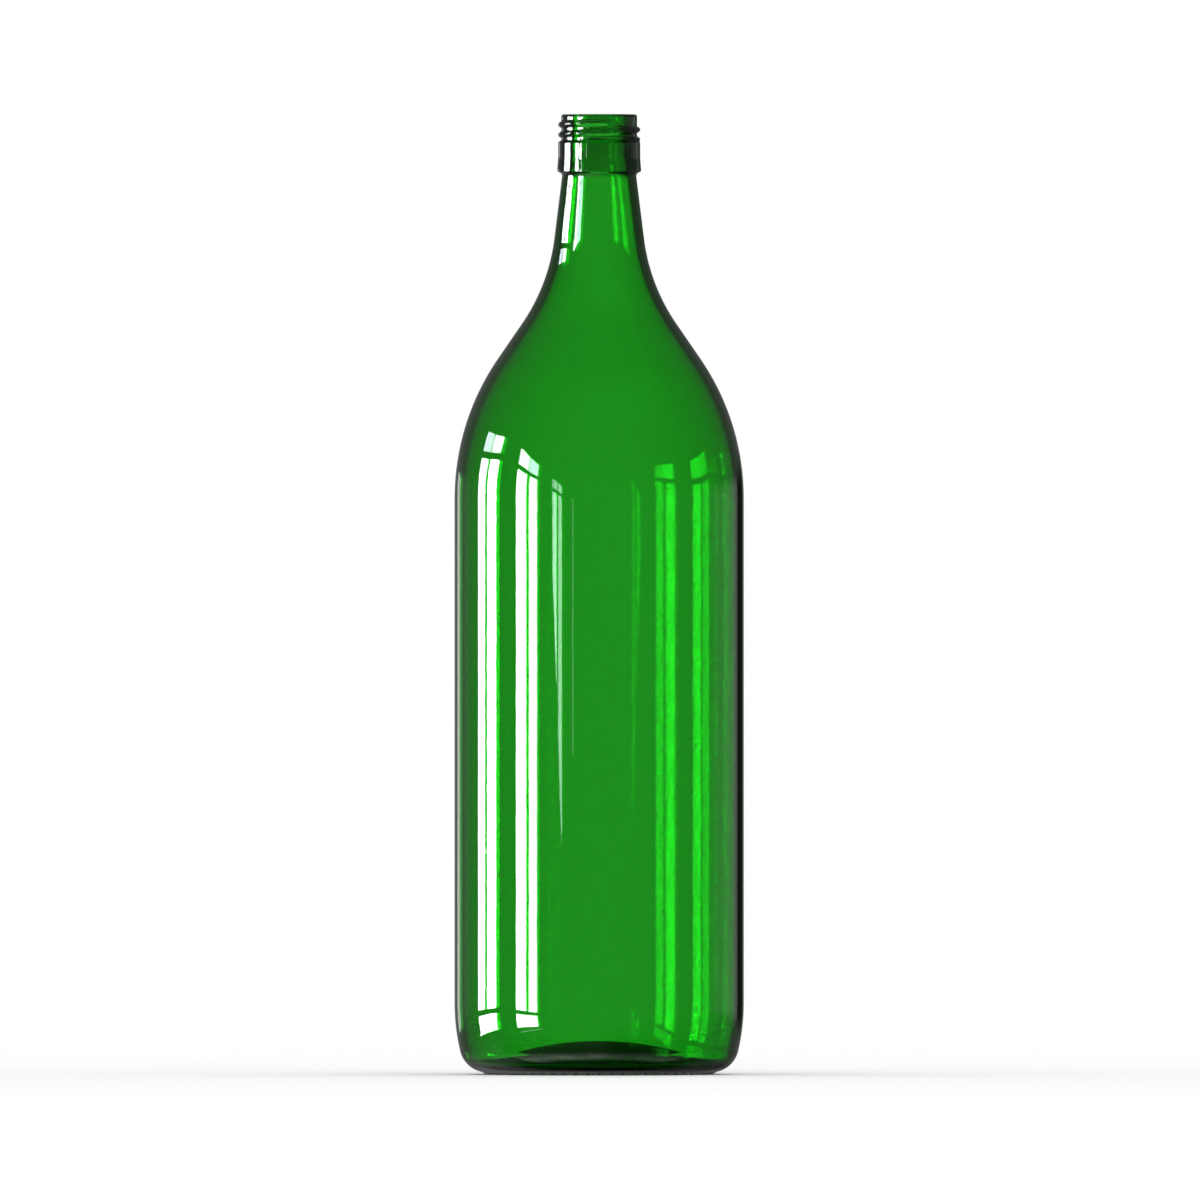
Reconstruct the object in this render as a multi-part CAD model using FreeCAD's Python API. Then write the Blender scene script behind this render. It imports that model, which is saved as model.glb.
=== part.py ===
import FreeCAD, Part
import math
import os

# Large screw-neck wine bottle in green glass, empty and open: one closed, hollow solid of revolution.
# Millimetres. The axis is Z, the bottle stands on the plane Z = 0 and its mouth points along +Z.
# The section is drawn once, in the half plane Y = 0, X > 0: up the outside, over the rim, down the
# inside and back along the axis. Every round stretch is a tangent arc whose centre is worked out.

# Overall
HEIGHT = 321.7
BODY_RADIUS = 48.5
WALL = 2.9

# Finish: the rim, the wall that carries the thread, and the collar that the closure's band grips
BORE_RADIUS = 8.4
RIM_OUTER_ROUND = 0.8
RIM_INNER_ROUND = 0.9
THREAD_WALL_RADIUS = 12.7
THREAD_WALL_HEIGHT = 8.6
COLLAR_STEP_HEIGHT = 0.8
COLLAR_RADIUS = 13.75
COLLAR_HEIGHT = 5.2
COLLAR_ROUND = 0.35
FLARE = 0.3
FLARE_HEIGHT = 3.8
FLARE_ROUND = 12.0
LIP_HEIGHT = 0.7
UNDERCUT_HEIGHT = 0.9
UNDERCUT_ROUND = 1.2

# Neck, sweep and shoulder
NECK_RADIUS = 12.35
NECK_LENGTH = 21.6
NECK_TAPER = 7.1
NECK_BORE_ROUND = 20.0
SWEEP_RADIUS = 64.5
SHOULDER_FLAT = 14.3
SHOULDER_RADIUS = 82.5

# Heel, bearing ring and base
HEEL_HEIGHT = 23.7
HEEL_SWEEP_RADIUS = 69.0
HEEL_CORNER_RADIUS = 9.3
RING_HEIGHT = 0.6
RING_LAND = 3.0
RING_FLANK = 0.6
PUSH_UP = 6.8
PUSH_UP_ROUND = 9.0
BASE_CENTRE = 3.8
BASE_EDGE = 3.2
BASE_INNER_ROUND = 4.5


def point(x, z):
    """A point of the section."""
    return FreeCAD.Vector(x, 0, z)


def along(start, end, distance):
    """The point at the distance from start, on the way to end."""
    way = end - start
    return start + way * (distance / way.Length)


def polar(centre, radius, tilt):
    """The point of a circle whose outward normal is tilted up from +X by tilt radians."""
    return centre + point(math.cos(tilt), math.sin(tilt)) * radius


class Outline:
    """Lines and arcs joined end to end, drawn from a starting point."""

    def __init__(self, start):
        self.at = start
        self.edges = []

    def line_to(self, end):
        self.edges.append(Part.LineSegment(self.at, end).toShape())
        self.at = end

    def arc_to(self, centre, end):
        """The shorter arc about centre, from here to end."""
        middle = along(centre, (self.at + end) * 0.5, (end - centre).Length)
        self.edges.append(Part.Arc(self.at, middle, end).toShape())
        self.at = end

    def bend(self, corner, towards, radius):
        """A line to the corner, turned there on a tangent arc that leaves towards the next point."""
        turn = (corner - self.at).getAngle(towards - corner)
        setback = radius * math.tan(turn / 2)
        begin = along(corner, self.at, setback)
        end = along(corner, towards, setback)
        inward = (along(corner, begin, 1) + along(corner, end, 1)) * 0.5
        centre = along(corner, inward, radius / math.cos(turn / 2))
        self.line_to(begin)
        self.arc_to(centre, end)

    def follow(self, corners, end):
        """Lines through the corners, each with its own round, that stop short of end."""
        points = [corner for corner, radius in corners] + [end]
        for (corner, radius), towards in zip(corners, points[1:]):
            self.bend(corner, towards, radius)


class Shoulder:
    """Neck taper, sweep, short straight and shoulder, each tangent to the next.

    The collar's underside fixes the top. The straight's slope is what lets the two arcs meet it and the
    body's side, and the height at which the shoulder begins follows from that.
    """

    def __init__(self):
        self.taper = math.radians(NECK_TAPER)
        finish_height = THREAD_WALL_HEIGHT + COLLAR_STEP_HEIGHT + COLLAR_HEIGHT + FLARE_HEIGHT
        finish_height += LIP_HEIGHT + UNDERCUT_HEIGHT
        self.neck_top = point(NECK_RADIUS, HEIGHT - finish_height)
        self.neck_foot = self.neck_top + point(math.tan(self.taper), -1) * NECK_LENGTH
        self.sweep_centre = polar(self.neck_foot, SWEEP_RADIUS, self.taper)
        span = math.hypot(SWEEP_RADIUS + SHOULDER_RADIUS, SHOULDER_FLAT)
        reach = self.sweep_centre.x - (BODY_RADIUS - SHOULDER_RADIUS)
        self.slope = math.acos(reach / span) - math.atan2(SHOULDER_FLAT, SWEEP_RADIUS + SHOULDER_RADIUS)
        flat_top = polar(self.sweep_centre, -SWEEP_RADIUS, self.slope)
        flat_foot = flat_top + point(math.sin(self.slope), -math.cos(self.slope)) * SHOULDER_FLAT
        self.centre = polar(flat_foot, -SHOULDER_RADIUS, self.slope)

    def down(self, outline, depth):
        """Draws from the neck's foot to the body's side, depth inside the outer surface."""
        sweep = SWEEP_RADIUS + depth
        shoulder = SHOULDER_RADIUS - depth
        outline.line_to(polar(self.sweep_centre, -sweep, self.taper))
        outline.arc_to(self.sweep_centre, polar(self.sweep_centre, -sweep, self.slope))
        outline.line_to(polar(self.centre, shoulder, self.slope))
        outline.arc_to(self.centre, polar(self.centre, shoulder, 0))

    def up(self, outline, depth):
        """Draws the same stretch from the body's side to the neck's foot."""
        sweep = SWEEP_RADIUS + depth
        shoulder = SHOULDER_RADIUS - depth
        outline.line_to(polar(self.centre, shoulder, 0))
        outline.arc_to(self.centre, polar(self.centre, shoulder, self.slope))
        outline.line_to(polar(self.sweep_centre, -sweep, self.slope))
        outline.arc_to(self.sweep_centre, polar(self.sweep_centre, -sweep, self.taper))


class Heel:
    """The large sweep that draws the side in, and the corner round that takes it under the bottle."""

    def __init__(self, corner_radius, corner_height, depth):
        self.sweep_centre = point(BODY_RADIUS - HEEL_SWEEP_RADIUS, HEEL_HEIGHT)
        self.sweep = HEEL_SWEEP_RADIUS - depth
        drop = HEEL_HEIGHT - corner_height - corner_radius
        across = math.sqrt((self.sweep - corner_radius) ** 2 - drop ** 2)
        self.corner_radius = corner_radius
        self.corner_centre = self.sweep_centre + point(across, -drop)
        self.tangent = along(self.sweep_centre, self.corner_centre, self.sweep)
        self.side = polar(self.sweep_centre, self.sweep, 0)


def dome(height, ring_centre, ring_round):
    """Centre and end of the dome that rises to height on the axis, tangent to the ring's round."""
    bottom = ring_centre.z - ring_round
    rise = height - bottom
    reach = (ring_centre.x ** 2 + rise ** 2) / (2 * rise)
    centre = point(0, height - (reach - ring_round))
    return centre, along(centre, ring_centre, reach - ring_round)


def base_outside(outline, heel):
    """Push-up, bearing ring and heel, from the axis to the body's side."""
    ring_radius = heel.corner_centre.x
    inner_centre = point(ring_radius, RING_HEIGHT + PUSH_UP_ROUND)
    dome_centre, dome_end = dome(RING_HEIGHT + PUSH_UP, inner_centre, PUSH_UP_ROUND)
    foot = RING_LAND / 2 + RING_FLANK
    inner_foot = polar(inner_centre, PUSH_UP_ROUND, -math.acos(-foot / PUSH_UP_ROUND))
    outer_foot = polar(heel.corner_centre, heel.corner_radius, -math.acos(foot / heel.corner_radius))
    outline.arc_to(dome_centre, dome_end)
    outline.arc_to(inner_centre, inner_foot)
    outline.line_to(point(ring_radius - RING_LAND / 2, 0))
    outline.line_to(point(ring_radius + RING_LAND / 2, 0))
    outline.line_to(outer_foot)
    outline.arc_to(heel.corner_centre, heel.tangent)
    outline.arc_to(heel.sweep_centre, heel.side)


def finish(outline, shoulder):
    """Undercut, collar, thread wall, rim and bore, up the outside and down the inside."""
    lip_low = shoulder.neck_top.z + UNDERCUT_HEIGHT
    lip_high = lip_low + LIP_HEIGHT
    flare_top = lip_high + FLARE_HEIGHT
    collar_top = flare_top + COLLAR_HEIGHT
    step_top = collar_top + COLLAR_STEP_HEIGHT
    lip_radius = COLLAR_RADIUS + FLARE
    wall_across = WALL / math.cos(shoulder.taper)
    bore_foot_z = shoulder.neck_top.z - (BORE_RADIUS - NECK_RADIUS + wall_across) / math.tan(shoulder.taper)
    bore_foot = point(BORE_RADIUS, bore_foot_z)
    inner_neck_foot = polar(shoulder.sweep_centre, -(SWEEP_RADIUS + WALL), shoulder.taper)
    corners = [
        (shoulder.neck_top, UNDERCUT_ROUND),
        (point(lip_radius, lip_low), COLLAR_ROUND),
        (point(lip_radius, lip_high), COLLAR_ROUND),
        (point(COLLAR_RADIUS, flare_top), FLARE_ROUND),
        (point(COLLAR_RADIUS, collar_top), COLLAR_ROUND),
        (point(THREAD_WALL_RADIUS, step_top), COLLAR_ROUND),
        (point(THREAD_WALL_RADIUS, HEIGHT), RIM_OUTER_ROUND),
        (point(BORE_RADIUS, HEIGHT), RIM_INNER_ROUND),
        (bore_foot, NECK_BORE_ROUND),
    ]
    outline.follow(corners, inner_neck_foot)


def base_inside(outline):
    """The inner heel and the floor over the push-up, from the inner side to the axis."""
    heel = Heel(BASE_INNER_ROUND, RING_HEIGHT + BASE_EDGE, WALL)
    floor_top = RING_HEIGHT + PUSH_UP + BASE_CENTRE
    dome_centre, dome_end = dome(floor_top, heel.corner_centre, BASE_INNER_ROUND)
    outline.line_to(heel.side)
    outline.arc_to(heel.sweep_centre, heel.tangent)
    outline.arc_to(heel.corner_centre, dome_end)
    outline.arc_to(dome_centre, point(0, floor_top))


def bottle():
    """The whole bottle, turned from its section."""
    shoulder = Shoulder()
    heel = Heel(HEEL_CORNER_RADIUS, RING_HEIGHT, 0)
    start = point(0, RING_HEIGHT + PUSH_UP)
    outline = Outline(start)
    base_outside(outline, heel)
    shoulder.up(outline, 0)
    finish(outline, shoulder)
    shoulder.down(outline, WALL)
    base_inside(outline)
    outline.line_to(start)
    section = Part.Face(Part.Wire(outline.edges))
    return section.revolve(point(0, 0), point(0, 1), 360)


def main():
    os.makedirs("parts", exist_ok=True)
    shape = bottle()
    shape.exportStep("parts/bottle.step")
    print("bottle: %.0f mm3, valid %s" % (shape.Volume, shape.isValid()))


main()
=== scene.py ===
"""A large screw-neck wine bottle in green glass, empty and open, standing in a plain white studio.

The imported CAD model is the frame. Its height and girth set the size of the bottle, and the glass is turned
again here as one closed surface, with the screw thread and the knurled foot that the plain solid leaves out.
The bottle and the windows are sized in millimetres until their meshes are made. The floor, the lamp, the
viewpoint and the finishes are in metres. The bottle's axis is Z, and the viewpoint looks along Y.
"""

import logging
import math
from collections.abc import Sequence
from dataclasses import dataclass, field
from enum import Enum

import bpy
import numpy as np
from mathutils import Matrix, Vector


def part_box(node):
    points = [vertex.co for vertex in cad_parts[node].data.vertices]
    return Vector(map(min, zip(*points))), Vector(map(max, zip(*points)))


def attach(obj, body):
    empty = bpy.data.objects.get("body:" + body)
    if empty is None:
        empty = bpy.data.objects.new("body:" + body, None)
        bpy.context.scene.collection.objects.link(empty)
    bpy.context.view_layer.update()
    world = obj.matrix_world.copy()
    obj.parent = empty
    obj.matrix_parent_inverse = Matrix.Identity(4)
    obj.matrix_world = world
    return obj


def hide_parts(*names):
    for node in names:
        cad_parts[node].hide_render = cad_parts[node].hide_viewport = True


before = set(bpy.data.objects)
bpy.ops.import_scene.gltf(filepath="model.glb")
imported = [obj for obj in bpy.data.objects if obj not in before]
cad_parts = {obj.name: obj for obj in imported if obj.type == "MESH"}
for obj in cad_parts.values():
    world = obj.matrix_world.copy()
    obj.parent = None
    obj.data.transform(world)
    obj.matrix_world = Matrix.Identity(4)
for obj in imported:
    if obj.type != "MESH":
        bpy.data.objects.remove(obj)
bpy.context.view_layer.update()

MM = 0.001
# Millimetres below this count as nothing.
SPECK = 1e-6
CAD_NODE = "bottle"
CAD_BODY = "root"

log = logging.getLogger("wine_bottle")

Light = tuple[float, float, float, float]
Levels = tuple[tuple[float, float], ...]
WHITE: Light = (1.0, 1.0, 1.0, 1.0)


class Zone(Enum):
    """The kind of surface that a ring of the turned glass belongs to."""

    PLAIN = "plain"
    THREAD = "thread"
    FOOT = "foot"


class RayCount(Enum):
    """The counters of a light path that the studio tells rays apart by."""

    MIRRORED = "Glossy Depth"
    SCATTERED = "Diffuse Depth"


def point(radius: float, height: float) -> Vector:
    """Return a point of the section."""
    return Vector((radius, height))


def polar(centre: Vector, radius: float, tilt: float) -> Vector:
    """Return the point of a circle at a tilt above the outward direction.

    Args:
        centre: The circle's centre in the section.
        radius: The circle's radius. A negative one gives the point opposite.
        tilt: The angle in radians.

    Returns:
        The point on the circle.
    """
    return centre + Vector((math.cos(tilt), math.sin(tilt))) * radius


def along(start: Vector, end: Vector, distance: float) -> Vector:
    """Return the point at a distance from start on the way to end."""
    return start + (end - start).normalized() * distance


@dataclass(frozen=True)
class Row:
    """One ring of the turned surface: where it is, which way it faces and what relief it carries."""

    at: Vector
    facing: Vector
    zone: Zone


@dataclass(frozen=True)
class Corner:
    """A rounded corner of the section, with the zone of the line that leads to it."""

    at: Vector
    round: float
    zone: Zone = Zone.PLAIN


@dataclass
class Pen:
    """Draws the section with the glass on the left, and sets down rows with exact facings."""

    at: Vector
    sagitta: float = 0.006
    widest_turn: float = math.radians(12.0)
    relief_spacing: float = 0.22
    zone: Zone = Zone.PLAIN
    rows: list[Row] = field(default_factory=list)

    def begin(self, facing: Vector) -> None:
        """Set the first row down where the pen is."""
        self.rows.append(Row(self.at, facing, self.zone))

    def line_to(self, end: Vector) -> None:
        """Draw a straight, in short steps where it carries relief.

        Args:
            end: The far end of the straight.
        """
        way = end - self.at
        if way.length < SPECK:
            return
        facing = Vector((way.y, -way.x)).normalized()
        steps = 1
        if self.zone is not Zone.PLAIN:
            steps = math.ceil(way.length / self.relief_spacing)
        for step in range(1, steps + 1):
            self.rows.append(Row(self.at + way * (step / steps), facing, self.zone))
        self.at = end

    def arc_to(self, centre: Vector, end: Vector) -> None:
        """Draw the shorter arc about a centre.

        Args:
            centre: The arc's centre.
            end: The far end of the arc.
        """
        radius = (end - centre).length
        first = math.atan2(self.at.y - centre.y, self.at.x - centre.x)
        last = math.atan2(end.y - centre.y, end.x - centre.x)
        turn = math.remainder(last - first, math.tau)
        step_turn = min(self.widest_turn, 2 * math.acos(1 - self.sagitta / radius))
        if self.zone is not Zone.PLAIN:
            step_turn = min(step_turn, self.relief_spacing / radius)
        steps = max(1, math.ceil(abs(turn) / step_turn))
        for step in range(1, steps + 1):
            tilt = first + turn * step / steps
            outward = polar(Vector((0.0, 0.0)), math.copysign(1.0, turn), tilt)
            self.rows.append(Row(polar(centre, radius, tilt), outward, self.zone))
        self.at = end

    def bend(self, corner: Corner, towards: Vector) -> None:
        """Draw to a corner and turn there on its tangent arc.

        Args:
            corner: The corner and its round.
            towards: A point that the arc leaves towards.
        """
        turn = (corner.at - self.at).angle(towards - corner.at)
        setback = corner.round * math.tan(turn / 2)
        start = along(corner.at, self.at, setback)
        end = along(corner.at, towards, setback)
        inward = (along(corner.at, start, 1.0) + along(corner.at, end, 1.0)) / 2
        centre = along(corner.at, inward, corner.round / math.cos(turn / 2))
        self.zone = corner.zone
        self.line_to(start)
        self.arc_to(centre, end)
        self.zone = Zone.PLAIN

    def follow(self, corners: Sequence[Corner], end: Vector) -> None:
        """Draw through rounded corners and stop short of the end.

        Args:
            corners: The corners in order.
            end: The point that the last corner's arc leaves towards.
        """
        targets = [corner.at for corner in corners[1:]] + [end]
        for corner, towards in zip(corners, targets):
            self.bend(corner, towards)


@dataclass
class Shoulder:
    """The neck's taper, the sweep below it, a short straight and the shoulder, tangent to one another."""

    body_radius: float
    neck_top: Vector
    neck_length: float = 21.6
    taper: float = math.radians(7.1)
    sweep_radius: float = 64.5
    straight: float = 14.3
    shoulder_radius: float = 82.5

    def __post_init__(self) -> None:
        """Work out the slope of the straight and the centres of both arcs."""
        self.neck_foot = self.neck_top + point(math.tan(self.taper), -1.0) * self.neck_length
        self.sweep_centre = polar(self.neck_foot, self.sweep_radius, self.taper)
        radii = self.sweep_radius + self.shoulder_radius
        reach = self.sweep_centre.x - (self.body_radius - self.shoulder_radius)
        span = math.hypot(radii, self.straight)
        self.slope = math.acos(reach / span) - math.atan2(self.straight, radii)
        flat_top = polar(self.sweep_centre, -self.sweep_radius, self.slope)
        downhill = point(math.sin(self.slope), -math.cos(self.slope))
        flat_foot = flat_top + downhill * self.straight
        self.centre = polar(flat_foot, -self.shoulder_radius, self.slope)

    def up(self, pen: Pen, depth: float) -> None:
        """Draw from the body's side to the neck's foot.

        Args:
            pen: The pen that draws the section.
            depth: How far inside the outer surface the line runs.
        """
        sweep = self.sweep_radius + depth
        shoulder = self.shoulder_radius - depth
        pen.line_to(polar(self.centre, shoulder, 0.0))
        pen.arc_to(self.centre, polar(self.centre, shoulder, self.slope))
        pen.line_to(polar(self.sweep_centre, -sweep, self.slope))
        pen.arc_to(self.sweep_centre, polar(self.sweep_centre, -sweep, self.taper))

    def down(self, pen: Pen, depth: float) -> None:
        """Draw the same stretch from the neck's foot to the body's side.

        Args:
            pen: The pen that draws the section.
            depth: How far inside the outer surface the line runs.
        """
        sweep = self.sweep_radius + depth
        shoulder = self.shoulder_radius - depth
        pen.line_to(polar(self.sweep_centre, -sweep, self.taper))
        pen.arc_to(self.sweep_centre, polar(self.sweep_centre, -sweep, self.slope))
        pen.line_to(polar(self.centre, shoulder, self.slope))
        pen.arc_to(self.centre, polar(self.centre, shoulder, 0.0))


@dataclass
class Heel:
    """The large sweep that draws the body's side in, and the corner round below it."""

    body_radius: float
    corner_radius: float
    corner_height: float
    depth: float
    height: float = 23.7
    sweep_radius: float = 69.0

    def __post_init__(self) -> None:
        """Work out the corner's centre and the tangent points."""
        sweep = self.sweep_radius - self.depth
        drop = self.height - self.corner_height - self.corner_radius
        across = math.sqrt((sweep - self.corner_radius) ** 2 - drop**2)
        self.sweep_centre = point(self.body_radius - self.sweep_radius, self.height)
        self.corner_centre = self.sweep_centre + point(across, -drop)
        self.tangent = along(self.sweep_centre, self.corner_centre, sweep)
        self.side = polar(self.sweep_centre, sweep, 0.0)


@dataclass
class KnurledFoot:
    """The ring that the bottle stands on, a low bead crossed by short knurls."""

    radius: float
    height: float
    half_width: float = 2.1
    bead_share: float = 0.34
    knurls: int = 60
    knurl_width: float = 1.7

    def drop(self, angle: np.ndarray, radius: float) -> np.ndarray:
        """Work out how far the ring hangs below the plain heel.

        Args:
            angle: Angles about the axis, in radians.
            radius: Distance from the axis.

        Returns:
            The drop at each angle.
        """
        across = max(0.0, 1.0 - ((radius - self.radius) / self.half_width) ** 2) ** 2
        pitch = math.tau / self.knurls
        from_front = angle + math.pi / 2
        from_crest = np.abs(np.mod(from_front + pitch / 2, pitch) - pitch / 2)
        reach = np.clip(from_crest * self.radius / (self.knurl_width / 2), 0.0, 1.0)
        knurl = np.cos(reach * math.pi / 2) ** 2
        return self.height * across * (self.bead_share + (1.0 - self.bead_share) * knurl)


@dataclass
class Base:
    """The underside with its push-up, and the inner floor over it."""

    body_radius: float
    wall: float
    corner_radius: float = 9.3
    foot_height: float = 0.6
    push_up: float = 6.8
    push_up_round: float = 9.0
    centre_thickness: float = 3.8
    edge_thickness: float = 3.2
    inner_round: float = 4.5

    def __post_init__(self) -> None:
        """Set out the outer and the inner heel and the foot between them."""
        self.outer = Heel(self.body_radius, self.corner_radius, self.foot_height, 0.0)
        lift = self.foot_height + self.edge_thickness
        self.inner = Heel(self.body_radius, self.inner_round, lift, self.wall)
        self.foot = KnurledFoot(self.outer.corner_centre.x, self.foot_height)
        self.underside_top = self.foot_height + self.push_up
        self.floor_top = self.underside_top + self.centre_thickness

    @staticmethod
    def dome(height: float, ring_centre: Vector, ring_round: float) -> tuple[Vector, Vector]:
        """Work out the dome that rises to a height on the axis from a ring's round.

        Args:
            height: Height of the dome's top.
            ring_centre: Centre of the round that the dome springs from.
            ring_round: Radius of that round.

        Returns:
            The dome's centre, and the point where it leaves the round.
        """
        rise = height - (ring_centre.y - ring_round)
        reach = (ring_centre.x**2 + rise**2) / (2 * rise)
        centre = point(0.0, height - (reach - ring_round))
        return centre, along(centre, ring_centre, reach - ring_round)

    def underside(self, pen: Pen) -> None:
        """Draw from the push-up's middle over the foot to the body's side.

        Args:
            pen: The pen that draws the section.
        """
        heel = self.outer
        lowest = point(heel.corner_centre.x, self.foot_height)
        inner_centre = lowest + point(0.0, self.push_up_round)
        dome_centre, dome_end = self.dome(self.underside_top, inner_centre, self.push_up_round)
        half = self.foot.half_width
        foot_start = polar(inner_centre, self.push_up_round, -math.acos(-half / self.push_up_round))
        foot_end = polar(heel.corner_centre, heel.corner_radius, -math.acos(half / heel.corner_radius))
        pen.arc_to(dome_centre, dome_end)
        pen.arc_to(inner_centre, foot_start)
        pen.zone = Zone.FOOT
        pen.arc_to(inner_centre, lowest)
        pen.arc_to(heel.corner_centre, foot_end)
        pen.zone = Zone.PLAIN
        pen.arc_to(heel.corner_centre, heel.tangent)
        pen.arc_to(heel.sweep_centre, heel.side)

    def floor(self, pen: Pen) -> None:
        """Draw from the inner side over the inner floor to the axis.

        Args:
            pen: The pen that draws the section.
        """
        heel = self.inner
        dome_centre, dome_end = self.dome(self.floor_top, heel.corner_centre, self.inner_round)
        pen.line_to(heel.side)
        pen.arc_to(heel.sweep_centre, heel.tangent)
        pen.arc_to(heel.corner_centre, dome_end)
        pen.arc_to(dome_centre, point(0.0, self.floor_top))


@dataclass
class ScrewThread:
    """The single right-handed thread, a bead that climbs about the finish and dies out at both ends."""

    wall_radius: float
    start_height: float
    relief: float = 1.06
    half_width: float = 1.05
    fullness: float = 0.7
    pitch: float = 3.35
    start_angle: float = math.radians(-60.0)
    end_angle: float = math.radians(656.0)
    fade: float = math.radians(38.0)

    def lay_on(self, angle: np.ndarray, radius: float, height: float) -> np.ndarray:
        """Lay the thread on a row of the finish.

        Args:
            angle: Angles about the axis, in radians from 0 to a full turn.
            radius: The plain radius of the row.
            height: Height of the row.

        Returns:
            The radius of the row at each angle.
        """
        relief = np.zeros_like(angle)
        # The thread begins less than a turn before angle 0 and ends within two turns after it.
        for turn in range(-1, 2):
            run = angle + turn * math.tau
            crest = self.start_height + self.pitch * run / math.tau
            across = np.clip(np.abs(height - crest) / self.half_width, 0.0, 1.0)
            to_end = np.minimum(run - self.start_angle, self.end_angle - run)
            strength = np.clip(to_end / self.fade, 0.0, 1.0)
            strength = strength * strength * (3.0 - 2.0 * strength)
            relief = np.maximum(relief, self.relief * strength * (1.0 - across**2) ** self.fullness)
        ledge = max(0.0, radius - self.wall_radius)
        return radius + np.maximum(0.0, relief - ledge)


@dataclass
class NeckFinish:
    """The mouth of the bottle: undercut, flared lip, collar, threaded wall, rim and bore."""

    rim_height: float
    wall: float
    bore_radius: float = 8.4
    rim_outer_round: float = 0.8
    rim_inner_round: float = 0.9
    thread_wall_radius: float = 12.7
    thread_wall_height: float = 8.6
    collar_step: float = 0.8
    collar_radius: float = 13.75
    collar_height: float = 5.2
    edge_round: float = 0.35
    flare: float = 0.3
    flare_height: float = 3.8
    flare_round: float = 12.0
    lip_height: float = 0.7
    undercut: float = 0.9
    undercut_round: float = 1.2
    neck_radius: float = 12.35
    bore_round: float = 20.0
    thread_lift: float = 0.1

    def __post_init__(self) -> None:
        """Stack the finish down from the rim."""
        self.step_top = self.rim_height - self.thread_wall_height
        self.collar_top = self.step_top - self.collar_step
        self.flare_top = self.collar_top - self.collar_height
        self.lip_high = self.flare_top - self.flare_height
        self.lip_low = self.lip_high - self.lip_height
        self.neck_top = point(self.neck_radius, self.lip_low - self.undercut)
        self.thread = ScrewThread(self.thread_wall_radius, self.step_top + self.thread_lift)

    def over(self, pen: Pen, shoulder: Shoulder) -> None:
        """Draw up the outside from the neck's foot, over the rim and down into the bore.

        Args:
            pen: The pen that draws the section.
            shoulder: The neck and shoulder below the finish.
        """
        taper = math.tan(shoulder.taper)
        wall_across = self.wall / math.cos(shoulder.taper)
        narrowing = self.bore_radius - (self.neck_radius - wall_across)
        bore_foot = point(self.bore_radius, self.neck_top.y - narrowing / taper)
        lip_radius = self.collar_radius + self.flare
        corners = [
            Corner(self.neck_top, self.undercut_round),
            Corner(point(lip_radius, self.lip_low), self.edge_round),
            Corner(point(lip_radius, self.lip_high), self.edge_round),
            Corner(point(self.collar_radius, self.flare_top), self.flare_round),
            Corner(point(self.collar_radius, self.collar_top), self.edge_round),
            Corner(point(self.thread_wall_radius, self.step_top), self.edge_round, Zone.THREAD),
            Corner(point(self.thread_wall_radius, self.rim_height), self.rim_outer_round, Zone.THREAD),
            Corner(point(self.bore_radius, self.rim_height), self.rim_inner_round),
            Corner(bore_foot, self.bore_round),
        ]
        neck_foot = polar(shoulder.sweep_centre, -(shoulder.sweep_radius + self.wall), shoulder.taper)
        pen.follow(corners, neck_foot)


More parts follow.
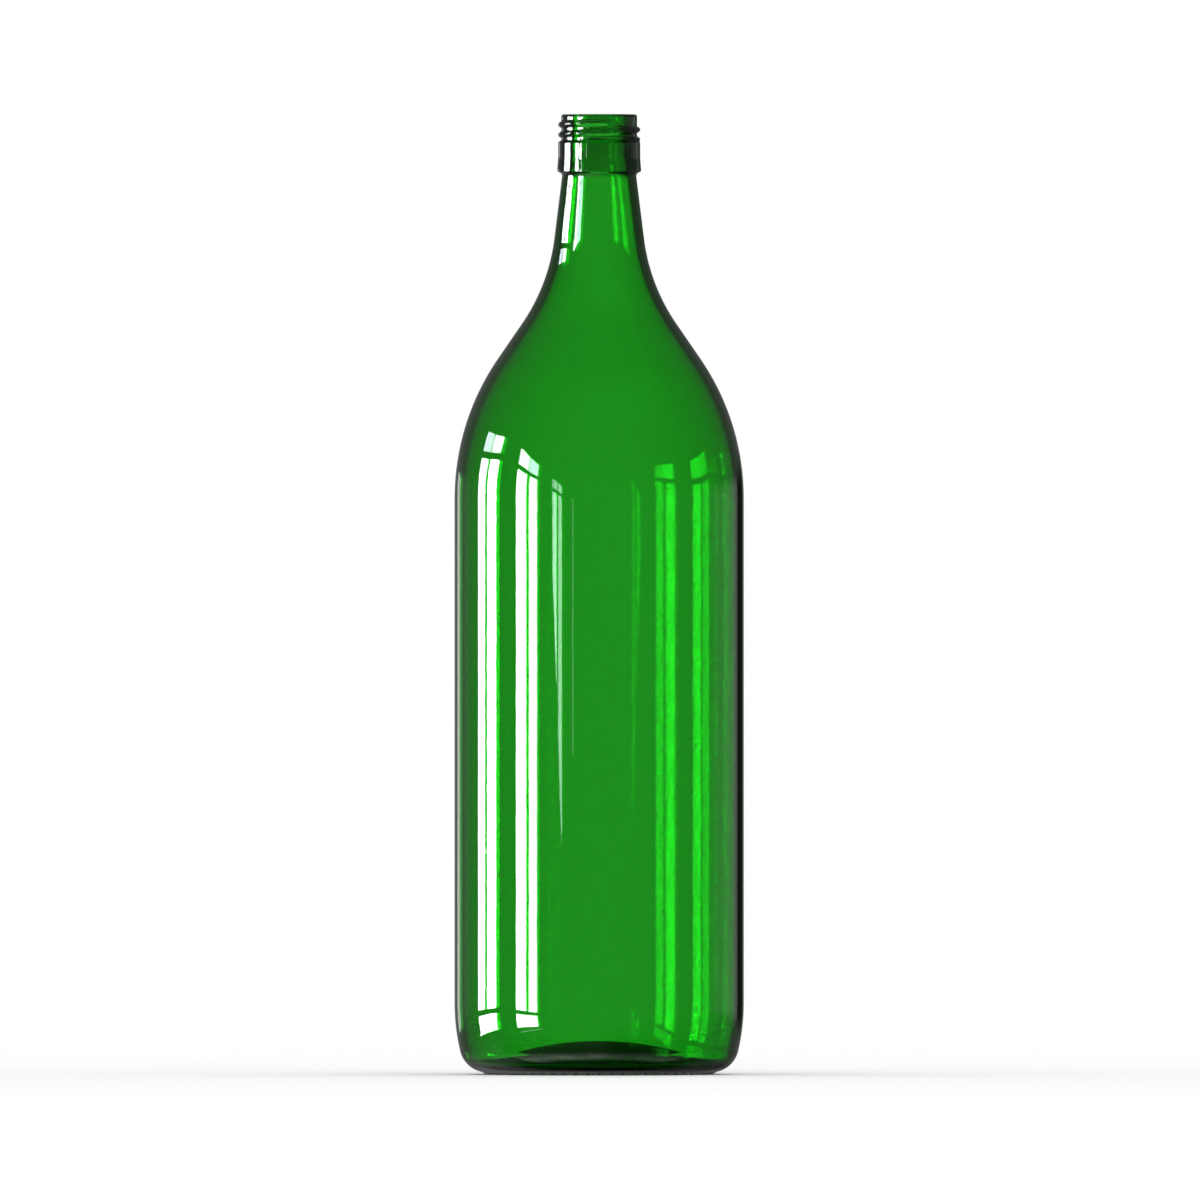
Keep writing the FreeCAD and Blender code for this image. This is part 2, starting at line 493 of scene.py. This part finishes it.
@dataclass
class Board:
    """A node tree, with short calls for the nodes that the finishes and the studio share."""

    tree: bpy.types.NodeTree

    @classmethod
    def cleared(cls, owner: bpy.types.Material | bpy.types.World) -> "Board":
        """Take over the nodes of a material or a world and clear them away.

        Args:
            owner: The material or the world.

        Returns:
            Its empty board.
        """
        owner.use_nodes = True
        owner.node_tree.nodes.clear()
        return cls(owner.node_tree)

    def add(self, kind: str, **settings: object) -> bpy.types.Node:
        """Add a node.

        Args:
            kind: The node's type name.
            **settings: Attributes to set on it.

        Returns:
            The new node.
        """
        node = self.tree.nodes.new(kind)
        for name, value in settings.items():
            setattr(node, name, value)
        return node

    def join(self, source: bpy.types.NodeSocket, target: bpy.types.NodeSocket) -> None:
        """Link one socket to another."""
        self.tree.links.new(source, target)

    def fill(self, socket: bpy.types.NodeSocket, value: object) -> None:
        """Link a socket if the value is another socket, and set it otherwise.

        Args:
            socket: The input to fill.
            value: A number, a colour or an output.
        """
        if isinstance(value, bpy.types.NodeSocket):
            self.join(value, socket)
        else:
            socket.default_value = value

    def maths(self, operation: str, *values: object) -> bpy.types.NodeSocket:
        """Add a Math node.

        Args:
            operation: The node's operation.
            *values: Numbers, or sockets to link.

        Returns:
            The node's output.
        """
        node = self.add("ShaderNodeMath", operation=operation)
        for socket, value in zip(node.inputs, values):
            self.fill(socket, value)
        return node.outputs[0]

    def noise(self, place: bpy.types.NodeSocket, scale: float, detail: float) -> bpy.types.NodeSocket:
        """Add a Noise texture.

        Args:
            place: The coordinates that it is read at.
            scale: Its scale, per metre.
            detail: Its octaves.

        Returns:
            The noise, about one half.
        """
        node = self.add("ShaderNodeTexNoise")
        node.inputs["Scale"].default_value = scale
        node.inputs["Detail"].default_value = detail
        self.join(place, node.inputs["Vector"])
        return node.outputs[0]

    def mix(self, share: bpy.types.NodeSocket, first: object, second: object) -> bpy.types.NodeSocket:
        """Mix two colours.

        Args:
            share: How much of the second there is.
            first: A colour or a socket.
            second: A colour or a socket.

        Returns:
            The mixed colour.
        """
        node = self.add("ShaderNodeMix", data_type="RGBA")
        self.join(share, node.inputs[0])
        self.fill(node.inputs[6], first)
        self.fill(node.inputs[7], second)
        return node.outputs[2]

    def spread(self, value: bpy.types.NodeSocket, low: float, high: float) -> bpy.types.NodeSocket:
        """Map a value from 0..1 to another range.

        Args:
            value: The value to map.
            low: What 0 becomes.
            high: What 1 becomes.

        Returns:
            The mapped value.
        """
        node = self.add("ShaderNodeMapRange")
        node.inputs["To Min"].default_value = low
        node.inputs["To Max"].default_value = high
        self.join(value, node.inputs["Value"])
        return node.outputs[0]

    def fade(self, value: bpy.types.NodeSocket, start: float, end: float) -> bpy.types.NodeSocket:
        """Turn a value into a share that grows smoothly from 0 to 1.

        Args:
            value: The value.
            start: Where the share leaves 0.
            end: Where it reaches 1.

        Returns:
            The share.
        """
        node = self.add("ShaderNodeMapRange", interpolation_type="SMOOTHSTEP")
        node.inputs["From Min"].default_value = start
        node.inputs["From Max"].default_value = end
        self.join(value, node.inputs["Value"])
        return node.outputs[0]

    def ramp(self, angle: bpy.types.NodeSocket, least: float, levels: Levels) -> bpy.types.NodeSocket:
        """Turn an angle into a level of light.

        Args:
            angle: The angle, in degrees.
            least: The angle at which the levels begin. They end at 180.
            levels: Angles and the level of light at each.

        Returns:
            The light.
        """
        colours = self.add("ShaderNodeValToRGB")
        share = self.add("ShaderNodeMapRange")
        share.inputs["From Min"].default_value = least
        share.inputs["From Max"].default_value = 180.0
        self.join(angle, share.inputs["Value"])
        self.join(share.outputs[0], colours.inputs[0])
        stops = colours.color_ramp.elements
        while len(stops) < len(levels):
            stops.new(1.0)
        for stop, (degrees, level) in zip(stops, levels):
            stop.position = (degrees - least) / (180.0 - least)
            stop.color = (level, level, level, 1.0)
        return colours.outputs["Color"]

    def has_been(self, count: RayCount) -> bpy.types.NodeSocket:
        """Return 1 for rays that have been mirrored, or scattered, at least once."""
        path = self.add("ShaderNodeLightPath")
        return self.maths("GREATER_THAN", path.outputs[count.value], 0.5)

    def only_mirrored(self) -> bpy.types.NodeSocket:
        """Return 1 for rays that have been mirrored and never scattered."""
        unscattered = self.maths("SUBTRACT", 1.0, self.has_been(RayCount.SCATTERED))
        return self.maths("MULTIPLY", self.has_been(RayCount.MIRRORED), unscattered)

    def finish(self, surface: bpy.types.NodeSocket, volume: bpy.types.NodeSocket | None = None) -> None:
        """Join the finished shaders to the output.

        Args:
            surface: The shader of the surface.
            volume: The shader of the volume, if there is one.
        """
        output = self.add("ShaderNodeOutputMaterial")
        self.join(surface, output.inputs["Surface"])
        if volume is not None:
            self.join(volume, output.inputs["Volume"])


def add_piece(
    name: str, points: Sequence[Sequence[float]], faces: Sequence[Sequence[int]]
) -> bpy.types.Object:
    """Make a mesh and put it into the scene.

    Args:
        name: The name of the piece and of its mesh.
        points: Its points, in metres.
        faces: Its faces, as rows of point numbers.

    Returns:
        The piece.
    """
    mesh = bpy.data.meshes.new(name)
    mesh.from_pydata(points, [], faces)
    piece = bpy.data.objects.new(name, mesh)
    bpy.context.collection.objects.link(piece)
    return piece


@dataclass(frozen=True)
class GreenGlass:
    """Bottle glass: clear at the surface, with a green that deepens with the thickness looked through."""

    name: str = "bottle_green_glass"
    index: float = 1.5
    let_through: Light = (0.0325, 0.7625, 0.0325, 1.0)
    density: float = 883.0
    smoothest: float = 0.0
    roughest: float = 0.006
    ripple_scale: float = 60.0
    ripple_height: float = 8e-8

    def material(self) -> bpy.types.Material:
        """Make the material.

        Returns:
            The glass, with its absorption in the volume.
        """
        made = bpy.data.materials.new(self.name)
        board = Board.cleared(made)
        place = board.add("ShaderNodeTexCoord").outputs["Object"]
        surface = board.add("ShaderNodeBsdfPrincipled")
        surface.inputs["Base Color"].default_value = WHITE
        surface.inputs["Transmission Weight"].default_value = 1.0
        surface.inputs["IOR"].default_value = self.index
        smears = board.noise(place, self.ripple_scale, 3.0)
        board.join(board.spread(smears, self.smoothest, self.roughest), surface.inputs["Roughness"])
        ripples = board.add("ShaderNodeBump")
        ripples.inputs["Strength"].default_value = 1.0
        ripples.inputs["Distance"].default_value = self.ripple_height
        board.join(board.noise(place, self.ripple_scale, 1.0), ripples.inputs["Height"])
        board.join(ripples.outputs["Normal"], surface.inputs["Normal"])
        volume = board.add("ShaderNodeVolumeAbsorption")
        volume.inputs["Color"].default_value = self.let_through
        volume.inputs["Density"].default_value = self.density
        board.finish(surface.outputs["BSDF"], volume.outputs["Volume"])
        return made


@dataclass
class Bottle:
    """The whole bottle, one closed surface turned about the axis."""

    body_radius: float
    height: float
    wall: float = 2.9
    segments: int = 300
    name: str = "bottle_glass"
    finish: GreenGlass = GreenGlass()
    piece: bpy.types.Object = field(init=False)

    def __post_init__(self) -> None:
        """Set out the parts of the section."""
        self.neck_finish = NeckFinish(self.height, self.wall)
        self.shoulder = Shoulder(self.body_radius, self.neck_finish.neck_top)
        self.base = Base(self.body_radius, self.wall)

    def section(self) -> list[Row]:
        """Draw the section.

        Returns:
            Its rows, from the middle of the underside to the middle of the inner floor.
        """
        pen = Pen(point(0.0, self.base.underside_top))
        pen.begin(point(0.0, -1.0))
        self.base.underside(pen)
        self.shoulder.up(pen, 0.0)
        self.neck_finish.over(pen, self.shoulder)
        self.shoulder.down(pen, self.wall)
        self.base.floor(pen)
        return pen.rows

    def ring(self, row: Row) -> tuple[np.ndarray, np.ndarray]:
        """Turn one row about the axis and lay its relief on.

        Args:
            row: The row of the section.

        Returns:
            The ring's points, and the way each faces where the ring is plain.
        """
        radius, height = row.at
        if radius < SPECK:
            count = 1
        elif row.zone is Zone.FOOT:
            count = 2 * self.segments
        else:
            count = self.segments
        angle = np.arange(count) * (math.tau / count)
        radii = np.full(count, radius)
        heights = np.full(count, height)
        if row.zone is Zone.THREAD:
            radii = self.neck_finish.thread.lay_on(angle, radius, height)
        if row.zone is Zone.FOOT:
            heights = heights - self.base.foot.drop(angle, radius)
        points = np.stack([radii * np.cos(angle), radii * np.sin(angle), heights], axis=1)
        flat = np.full(count, row.facing.x)
        rise = np.full(count, row.facing.y)
        facings = np.stack([flat * np.cos(angle), flat * np.sin(angle), rise], axis=1)
        return points * MM, facings

    @staticmethod
    def between(low: range, high: range) -> list[tuple[int, ...]]:
        """Fill the band between two rings, which may differ by a factor of two or be a single point.

        Args:
            low: The vertex numbers of the ring drawn first.
            high: The vertex numbers of the next one.

        Returns:
            The faces of the band.
        """
        faces: list[tuple[int, ...]] = []
        if len(low) == 1:
            return [(low[0], high[i], high[i - 1]) for i in range(len(high))]
        if len(high) == 1:
            return [(low[i - 1], low[i], high[0]) for i in range(len(low))]
        if len(low) == len(high):
            return [(low[i - 1], low[i], high[i], high[i - 1]) for i in range(len(low))]
        if len(low) < len(high):
            for i in range(len(low)):
                before, middle, after = high[2 * i - 2], high[2 * i - 1], high[2 * i]
                faces += [(low[i - 1], middle, before), (low[i - 1], low[i], middle), (low[i], after, middle)]
            return faces
        for i in range(len(high)):
            before, middle, after = low[2 * i - 2], low[2 * i - 1], low[2 * i]
            faces += [(before, middle, high[i - 1]), (middle, high[i], high[i - 1]), (middle, after, high[i])]
        return faces

    def build(self) -> bpy.types.Object:
        """Turn the section into the bottle's mesh.

        Returns:
            The bottle, smooth, facing exactly as its arcs do where it is plain.
        """
        rows = self.section()
        rings = [self.ring(row) for row in rows]
        points = np.concatenate([ring[0] for ring in rings])
        facings = np.concatenate([ring[1] for ring in rings])
        starts = np.cumsum([0] + [len(ring[0]) for ring in rings])
        numbers = [range(int(a), int(b)) for a, b in zip(starts, starts[1:])]
        faces: list[tuple[int, ...]] = []
        for low, high in zip(numbers, numbers[1:]):
            faces += self.between(low, high)
        self.piece = add_piece(self.name, points.tolist(), faces)
        mesh = self.piece.data
        mesh.polygons.foreach_set("use_smooth", np.ones(len(faces), dtype=bool))
        mesh.update()
        averaged = np.empty(3 * len(points), dtype=np.float32)
        mesh.vertex_normals.foreach_get("vector", averaged)
        averaged = averaged.reshape(-1, 3)
        reliefs = [np.full(len(ring[0]), row.zone is not Zone.PLAIN) for row, ring in zip(rows, rings)]
        relief = np.concatenate(reliefs)
        facings[relief] = averaged[relief]
        mesh.normals_split_custom_set_from_vertices(facings.tolist())
        return self.piece

    def dress(self) -> None:
        """Give the bottle its glass and tie it to the frame."""
        self.piece.data.materials.append(self.finish.material())
        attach(self.piece, CAD_BODY)
        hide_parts(CAD_NODE)


@dataclass(frozen=True)
class PaneRow:
    """One row of a window's two panes, with the heights of its edges and the glows, near end first."""

    foot: tuple[float, float]
    head: tuple[float, float]
    mullion_width: float
    near_glow: Light
    far_glow: Light


def grey(level: float) -> Light:
    """Return a neutral light."""
    return (level, level, level, 1.0)


@dataclass
class Window:
    """A lit window of the studio, at a reach from the bottle's side.

    Its bearings are in degrees to the left of the front. The edges of a row run straight from the near end
    to the far end.
    """

    name: str
    body_radius: float
    reach: float
    near: float
    far: float
    mullion: float
    rows: tuple[PaneRow, ...]
    piece: bpy.types.Object = field(init=False)

    def corner(self, bearing: float, height: float) -> tuple[float, float, float]:
        """Find the point that the bottle's side mirrors at a bearing.

        Args:
            bearing: Degrees to the left of the front.
            height: Height of the point.

        Returns:
            The point, in metres.
        """
        turn = math.radians(bearing)
        across = self.body_radius * math.sin(turn / 2) + self.reach * math.sin(turn)
        forward = self.body_radius * math.cos(turn / 2) + self.reach * math.cos(turn)
        return (-across * MM, -forward * MM, height * MM)

    def build(self) -> bpy.types.Object:
        """Make the panes.

        Returns:
            The panes as one piece.
        """
        points: list[tuple[float, float, float]] = []
        for row in self.rows:
            inner = self.mullion - row.mullion_width / 2
            outer = self.mullion + row.mullion_width / 2
            for start, end in ((self.near, inner), (outer, self.far)):
                for bearing, edges in ((start, (row.foot, row.head)), (end, (row.head, row.foot))):
                    share = (bearing - self.near) / (self.far - self.near)
                    points += [self.corner(bearing, ends[0] + share * (ends[1] - ends[0])) for ends in edges]
        faces = [tuple(range(start, start + 4)) for start in range(0, len(points), 4)]
        self.piece = add_piece(self.name, points, faces)
        return self.piece

    def dress(self) -> None:
        """Give each pane its glow."""
        for row in self.rows:
            for glow in (row.near_glow, row.far_glow):
                self.piece.data.materials.append(self.pane_light(glow))
        for index, face in enumerate(self.piece.data.polygons):
            face.material_index = index

    def pane_light(self, glow: Light) -> bpy.types.Material:
        """Make the light of a pane, which only mirrored rays see.

        Args:
            glow: The pane's glow.

        Returns:
            The light.
        """
        made = bpy.data.materials.new(f"{self.name}_pane")
        made.cycles.emission_sampling = "NONE"
        board = Board.cleared(made)
        light = board.add("ShaderNodeEmission")
        light.inputs["Color"].default_value = glow
        mix = board.add("ShaderNodeMixShader")
        board.join(board.only_mirrored(), mix.inputs[0])
        board.join(board.add("ShaderNodeBsdfTransparent").outputs[0], mix.inputs[1])
        board.join(light.outputs[0], mix.inputs[2])
        board.finish(mix.outputs[0])
        return made


@dataclass
class Daylight:
    """The studio's windows: two tall ones, one with its sill, a narrow one, a chink and a strip behind."""

    body_radius: float
    reach: float = 3300.0
    side_reach: float = 750.0

    def windows(self) -> list[Window]:
        """Lay the windows out.

        Returns:
            The windows, from the front to the back.
        """
        close_by = [self.chink(), self.side_window()]
        far_off = [self.front_window(), self.sill(), self.left_window(), self.strip()]
        return close_by + far_off

    def chink(self) -> Window:
        """Return a thin chink of light to the left of the front."""
        row = PaneRow((100.0, 100.0), (196.0, 196.0), 0.0, grey(2.6), grey(2.6))
        return Window(
            "chink", self.body_radius, self.side_reach, near=20.6, far=21.3, mullion=21.0, rows=(row,)
        )

    def side_window(self) -> Window:
        """Return the narrow window close by, cooler than the others."""
        rows = (
            PaneRow((68.0, 163.0), (201.0, 238.0), 1.4, (7.0, 9.3, 8.1, 1.0), (9.3, 14.0, 11.0, 1.0)),
            PaneRow((219.0, 258.0), (268.0, 313.0), 0.8, (6.5, 8.5, 7.6, 1.0), (6.5, 8.5, 7.6, 1.0)),
        )
        return Window(
            "side_window", self.body_radius, self.side_reach, near=30.0, far=37.7, mullion=33.6, rows=rows
        )

    def front_window(self) -> Window:
        """Return the tall window nearer the front."""
        rows = (
            PaneRow((-657.0, -627.0), (-334.0, -258.0), 0.0, grey(26.0), grey(38.0)),
            PaneRow((-244.0, -134.0), (634.0, 850.0), 2.6, grey(26.0), grey(40.0)),
            PaneRow((729.0, 973.0), (1028.0, 1365.0), 0.9, (14.6, 18.0, 19.7, 1.0), (23.0, 21.0, 23.0, 1.0)),
        )
        return Window(
            "front_window", self.body_radius, self.reach, near=51.0, far=70.2, mullion=59.5, rows=rows
        )

    def sill(self) -> Window:
        """Return the pale line of the sill below the front window."""
        row = PaneRow((-745.0, -784.0), (-725.0, -764.0), 0.0, grey(5.0), grey(5.0))
        return Window(
            "window_sill", self.body_radius, self.reach, near=46.5, far=68.0, mullion=57.0, rows=(row,)
        )

    def left_window(self) -> Window:
        """Return the tall window on the left."""
        rows = (
            PaneRow((-586.0, -586.0), (-199.0, -234.0), 0.0, grey(38.0), grey(24.0)),
            PaneRow((-82.0, -122.0), (926.0, 790.0), 2.6, grey(38.0), grey(21.0)),
            PaneRow((1068.0, 905.0), (1428.0, 1240.0), 0.9, (18.0, 17.5, 18.5, 1.0), (10.5, 10.5, 13.0, 1.0)),
        )
        return Window(
            "left_window", self.body_radius, self.reach, near=91.0, far=113.6, mullion=102.9, rows=rows
        )

    def strip(self) -> Window:
        """Return the lit strip behind, on the left."""
        row = PaneRow((-216.0, -216.0), (317.0, 317.0), 0.0, (1.1, 1.2, 1.1, 1.0), (1.5, 1.65, 1.5, 1.0))
        return Window(
            "back_strip", self.body_radius, self.reach, near=148.0, far=157.0, mullion=152.5, rows=(row,)
        )


@dataclass
class Surroundings:
    """The white backdrop, and the dim room that the glass mirrors.

    The walls have a light for each bearing, in degrees to the left of the front, and aloft holds the same
    for what lies higher or lower. The ground has a light for each dip: 0 is the horizon in front, 90 is
    straight down and 180 the horizon behind. The bands are parts of a unit direction, downward or leftward.
    """

    soft_light: float = 0.9
    walls: Levels = (
        (-180.0, 0.2),
        (-166.0, 0.2),
        (-164.0, 0.015),
        (-148.0, 0.015),
        (-142.0, 0.42),
        (-106.0, 0.32),
        (-100.0, 0.2),
        (0.0, 0.17),
        (128.0, 0.19),
        (132.0, 0.25),
        (160.0, 0.2),
        (180.0, 0.2),
    )
    aloft: Levels = (
        (-180.0, 0.13),
        (-145.0, 0.12),
        (-132.0, 0.14),
        (-120.0, 0.13),
        (-100.0, 0.14),
        (0.0, 0.17),
        (120.0, 0.16),
        (180.0, 0.16),
    )
    ground: Levels = (
        (0.0, 0.17),
        (26.0, 0.1),
        (41.0, 1.0),
        (48.0, 1.6),
        (56.0, 0.9),
        (64.0, 0.04),
        (122.0, 0.01),
        (138.0, 0.28),
        (160.0, 0.22),
        (180.0, 0.2),
    )
    eye_line: float = 0.0096
    level_band: tuple[float, float] = (0.02, 0.08)
    ground_band: tuple[float, float] = (0.15, 0.35)
    shade_band: tuple[float, float] = (-0.3, 0.1)
    shade: float = 0.4
    patch_scale: float = 3.0
    patch_strength: tuple[float, float] = (0.1, 1.8)

    def build(self) -> None:
        """Make the world."""
        world = bpy.data.worlds.new("studio_surroundings")
        bpy.context.scene.world = world
        board = Board.cleared(world)
        path = board.add("ShaderNodeLightPath")
        seen = board.maths("MAXIMUM", path.outputs["Is Camera Ray"], path.outputs["Is Transmission Ray"])
        seen = board.maths("MAXIMUM", seen, path.outputs["Is Glossy Ray"])
        backdrop = board.mix(board.only_mirrored(), WHITE, self.room_light(board))
        light = board.add("ShaderNodeBackground")
        board.join(board.mix(seen, grey(self.soft_light), backdrop), light.inputs["Color"])
        board.join(light.outputs[0], board.add("ShaderNodeOutputWorld").inputs["Surface"])

    def room_light(self, board: Board) -> bpy.types.NodeSocket:
        """Lay out the dim room: its walls above and the ground below.

        Args:
            board: The world's nodes.

        Returns:
            The light that comes from each direction.
        """
        place = board.add("ShaderNodeTexCoord").outputs["Generated"]
        direction = board.add("ShaderNodeSeparateXYZ")
        board.join(place, direction.inputs[0])
        leftward, forward, downward = (board.maths("MULTIPLY", part, -1.0) for part in direction.outputs)
        bearing = board.maths("DEGREES", board.maths("ARCTAN2", leftward, forward))
        slope = board.maths("ABSOLUTE", board.maths("SUBTRACT", downward, self.eye_line))
        level = board.ramp(bearing, -180.0, self.walls)
        aloft = board.ramp(bearing, -180.0, self.aloft)
        walls = board.mix(board.fade(slope, *self.level_band), level, aloft)
        flat = board.maths("SQRT", board.maths("SUBTRACT", 1.0, board.maths("POWER", downward, 2.0)))
        facing = board.maths("MULTIPLY", flat, board.maths("SIGN", forward))
        dip = board.maths("DEGREES", board.maths("ARCTAN2", downward, facing))
        patches = board.spread(board.noise(place, self.patch_scale, 1.0), *self.patch_strength)
        shade = board.spread(board.fade(leftward, *self.shade_band), self.shade, 1.0)
        ground = board.maths("MULTIPLY", board.ramp(dip, 0.0, self.ground), patches)
        ground = board.maths("MULTIPLY", ground, shade)
        return board.mix(board.fade(downward, *self.ground_band), walls, ground)


@dataclass
class Floor:
    """A pale round floor just under the bottle, whose edge melts into the backdrop."""

    radius: float = 0.85
    solid_radius: float = 0.2
    drop: float = 0.00002
    whiteness: float = 0.98
    segments: int = 96
    name: str = "studio_floor"
    piece: bpy.types.Object = field(init=False)

    def build(self) -> bpy.types.Object:
        """Make the floor's disc.

        Returns:
            The floor.
        """
        angle = np.arange(self.segments) * (math.tau / self.segments)
        heights = np.full(self.segments, -self.drop)
        points = np.stack([self.radius * np.cos(angle), self.radius * np.sin(angle), heights], axis=1)
        self.piece = add_piece(self.name, points.tolist(), [range(self.segments)])
        return self.piece

    def dress(self) -> None:
        """Give the floor its matt finish and its fading edge."""
        made = bpy.data.materials.new(self.name)
        board = Board.cleared(made)
        matt = board.add("ShaderNodeBsdfDiffuse")
        matt.inputs["Color"].default_value = grey(self.whiteness)
        from_middle = board.add("ShaderNodeVectorMath", operation="LENGTH")
        board.join(board.add("ShaderNodeTexCoord").outputs["Object"], from_middle.inputs[0])
        edge = board.fade(from_middle.outputs["Value"], self.solid_radius, self.radius)
        mix = board.add("ShaderNodeMixShader")
        board.join(board.maths("MAXIMUM", edge, board.has_been(RayCount.MIRRORED)), mix.inputs[0])
        board.join(matt.outputs[0], mix.inputs[1])
        board.join(board.add("ShaderNodeBsdfTransparent").outputs[0], mix.inputs[2])
        board.finish(mix.outputs[0])
        self.piece.data.materials.append(made)


@dataclass
class Softbox:
    """A large soft lamp over the bottle. The glass neither mirrors it nor shows it."""

    size: float = 1.2
    height: float = 1.6
    power: float = 3.0
    name: str = "overhead_softbox"

    def build(self) -> bpy.types.Object:
        """Hang the lamp.

        Returns:
            The lamp.
        """
        lamp = bpy.data.lights.new(self.name, "AREA")
        lamp.shape = "DISK"
        lamp.size = self.size
        lamp.energy = self.power
        made = bpy.data.objects.new(self.name, lamp)
        made.location = (0.0, 0.0, self.height)
        made.visible_camera = False
        made.visible_glossy = False
        made.visible_transmission = False
        bpy.context.collection.objects.link(made)
        return made


@dataclass
class Viewpoint:
    """A parallel view from the front, a little above the level of the bottle's middle."""

    target: tuple[float, float, float] = (0.00027, 0.0, 0.15893)
    frame_width: float = 0.40213
    elevation: float = math.radians(0.55)
    distance: float = 3.0

    def build(self) -> bpy.types.Object:
        """Make the camera and put it to use.

        Returns:
            The camera.
        """
        camera = bpy.data.cameras.new("camera")
        camera.type = "ORTHO"
        camera.ortho_scale = self.frame_width
        made = bpy.data.objects.new("camera", camera)
        back = Vector((0.0, -math.cos(self.elevation), math.sin(self.elevation)))
        made.location = Vector(self.target) + back * self.distance
        made.rotation_mode = "QUATERNION"
        made.rotation_quaternion = (-back).to_track_quat("-Z", "Y")
        bpy.context.collection.objects.link(made)
        bpy.context.scene.camera = made
        return made


def set_up_view() -> None:
    """Show colours as they are written, and let rays pass both walls and mirror often inside them."""
    scene = bpy.context.scene
    scene.view_settings.view_transform = "Standard"
    scene.cycles.max_bounces = 32
    scene.cycles.transmission_bounces = 32
    scene.cycles.glossy_bounces = 24


def main() -> None:
    """Build the bottle and the studio round it."""
    logging.basicConfig(level=logging.INFO, format="%(name)s: %(message)s")
    low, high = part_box(CAD_NODE)
    body_radius = min(-low.x, high.x, -low.y, high.y) / MM
    bottle = Bottle(body_radius, high.z / MM)
    piece = bottle.build()
    bottle.dress()
    log.info("%s: %d faces", piece.name, len(piece.data.polygons))
    for stage in (Floor(), *Daylight(body_radius).windows()):
        piece = stage.build()
        stage.dress()
        log.info("%s: %d faces", piece.name, len(piece.data.polygons))
    Surroundings().build()
    log.info("%s", Softbox().build().name)
    log.info("%s", Viewpoint().build().name)
    set_up_view()


if __name__ == "__main__":
    main()
